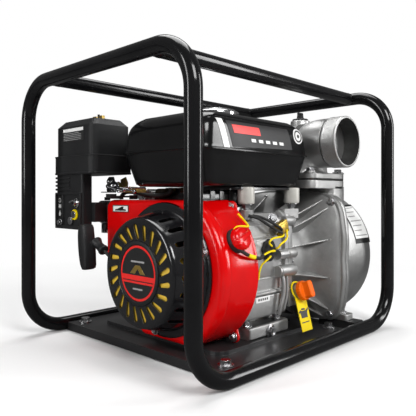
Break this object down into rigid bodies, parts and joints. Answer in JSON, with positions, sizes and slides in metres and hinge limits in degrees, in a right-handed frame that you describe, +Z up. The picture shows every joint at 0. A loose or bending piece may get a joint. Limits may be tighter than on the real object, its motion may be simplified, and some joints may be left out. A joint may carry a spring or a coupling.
{
  "type": "engine-driven water pump",
  "caption": "Petrol-engine water pump in a tubular roll frame, with hand starter, fuel tank and air cleaner over the engine and a cast casing with threaded suction and discharge ports.",
  "frame": {"origin": "centre of the bounding box, on the ground plane that the frame tubes rest on", "axes": "+X along the crankshaft from the hand starter to the pump, +Y towards the cylinder head and the air cleaner, +Z up"},
  "size_m": [0.5066, 0.4202, 0.4287],
  "materials": {
    "gloss_black": "gloss",
    "steel": "satin",
    "cast_aluminium": "satin cast",
    "orange_plastic": "gloss",
    "yellow_plastic": "satin",
    "rubber": "matte",
    "cast_iron": "rough",
    "black_plastic": "satin",
    "zinc_yellow": "yellow zinc plate",
    "red_paint": "gloss",
    "red_plastic": "gloss",
    "chrome": "mirror",
    "foam": "open cell"
  },
  "bodies": {
    "pump_set": {"frame_front_hoop": "gloss_black", "frame_rear_hoop": "gloss_black", "top_rail_left": "gloss_black", "top_rail_right": "gloss_black", "base_tray": "gloss_black", "pump_crossmember": "gloss_black", "valve_cover": "gloss_black", "fuel_tank": "gloss_black", "muffler_guard": "gloss_black", "base_bolt_1": "steel", "base_bolt_2": "steel", "base_bolt_3": "steel", "base_bolt_4": "steel", "engine_bolt_1": "steel", "engine_bolt_2": "steel", "crankcase": "cast_aluminium", "crankcase_cover": "cast_aluminium", "cylinder_head": "cast_aluminium", "carburetor": "cast_aluminium", "pump_cover": "cast_aluminium", "pump_casing": "cast_aluminium", "discharge_elbow": "cast_aluminium", "suction_port": "cast_aluminium", "oil_tag": "yellow_plastic", "switch_wire": "yellow_plastic", "sensor_wire": "yellow_plastic", "spark_plug": "rubber", "recoil_rope": "rubber", "fuel_hose": "rubber", "wire_grommet": "rubber", "mechanical_seal": "rubber", "elbow_gasket": "rubber", "muffler": "cast_iron", "volute": "cast_iron", "recoil_housing": "black_plastic", "switch_base": "black_plastic", "air_cleaner_body": "black_plastic", "oil_alert_unit": "zinc_yellow", "fan_cover": "red_paint", "tank_post_front": "chrome", "tank_post_rear": "chrome", "filter_element": "foam"},
    "rotor": {"crankshaft": "steel", "flywheel": "cast_iron", "cooling_fan": "black_plastic", "starter_cup": "zinc_yellow", "impeller": "cast_iron"},
    "piston": {"piston": "steel"},
    "starter_grip": {"starter_handle": "black_plastic"},
    "starter_reel": {"recoil_reel": "zinc_yellow"},
    "stop_knob": {"stop_switch": "red_plastic"},
    "throttle": {"throttle_lever": "black_plastic"},
    "choke": {"choke_lever": "black_plastic"},
    "fuel_tap": {"fuel_valve": "black_plastic"},
    "air_cover": {"air_cleaner_cover": "black_plastic"},
    "air_nut": {"wing_nut": "zinc_yellow"},
    "tank_cap": {"fuel_cap": "chrome"},
    "oil_dipstick": {"dipstick": "orange_plastic"},
    "priming_plug": {"fill_plug": "black_plastic"},
    "check_flap": {"valve_flap": "rubber"}
  },
  "joints": [
    {"name": "crank_spin", "type": "hinge", "parent": "pump_set", "child": "rotor", "pos_m": [0, -0.05, 0.127], "axis": [1, 0, 0], "continuous": true},
    {"name": "piston_stroke", "type": "slide", "parent": "pump_set", "child": "piston", "axis": [0, 0.9063, 0.4226], "range_m": [0, 0.054]},
    {"name": "starter_pull", "type": "slide", "parent": "pump_set", "child": "starter_grip", "axis": [-0.1012, 0.9916, 0.0809], "range_m": [0, 0.6], "stiffness_N_per_m": 20, "springref_m": -0.3},
    {"name": "reel_spin", "type": "hinge", "parent": "pump_set", "child": "starter_reel", "pos_m": [-0.188, -0.05, 0.127], "axis": [1, 0, 0], "range_deg": [0, 620]},
    {"name": "stop_turn", "type": "hinge", "parent": "pump_set", "child": "stop_knob", "pos_m": [-0.121, -0.16173, 0.17674], "axis": [0, -0.9135, 0.4067], "range_deg": [0, 60]},
    {"name": "throttle_swing", "type": "hinge", "parent": "pump_set", "child": "throttle", "pos_m": [-0.122, 0.072, 0.2318], "axis": [0, 0, 1], "range_deg": [0, 40]},
    {"name": "choke_swing", "type": "hinge", "parent": "pump_set", "child": "choke", "pos_m": [-0.138, 0.124, 0.23], "axis": [0, 0, 1], "range_deg": [0, 40]},
    {"name": "fuel_tap_turn", "type": "hinge", "parent": "pump_set", "child": "fuel_tap", "pos_m": [-0.151, 0.111, 0.183], "axis": [1, 0, 0], "range_deg": [-90, 0]},
    {"name": "air_cover_lift", "type": "slide", "parent": "pump_set", "child": "air_cover", "axis": [0, 0, 1], "range_m": [0, 0.03]},
    {"name": "wing_nut_turn", "type": "hinge", "parent": "air_cover", "child": "air_nut", "pos_m": [-0.1415, 0.145, 0.366], "axis": [0, 0, 1], "continuous": true},
    {"name": "tank_cap_lift", "type": "slide", "parent": "pump_set", "child": "tank_cap", "axis": [0, 0, 1], "range_m": [0, 0.035]},
    {"name": "dipstick_pull", "type": "slide", "parent": "pump_set", "child": "oil_dipstick", "axis": [0, -0.9397, 0.342], "range_m": [0, 0.05]},
    {"name": "priming_plug_lift", "type": "slide", "parent": "pump_set", "child": "priming_plug", "axis": [0, 0, 1], "range_m": [0, 0.03]},
    {"name": "check_flap_swing", "type": "hinge", "parent": "pump_set", "child": "check_flap", "pos_m": [0.2225, -0.056, 0.218], "axis": [0, 1, 0], "range_deg": [0, 18]}
  ],
  "couplings": [
    {"joint": "reel_spin", "follows": "starter_pull", "rad_per_m": 17.857}
  ]
}
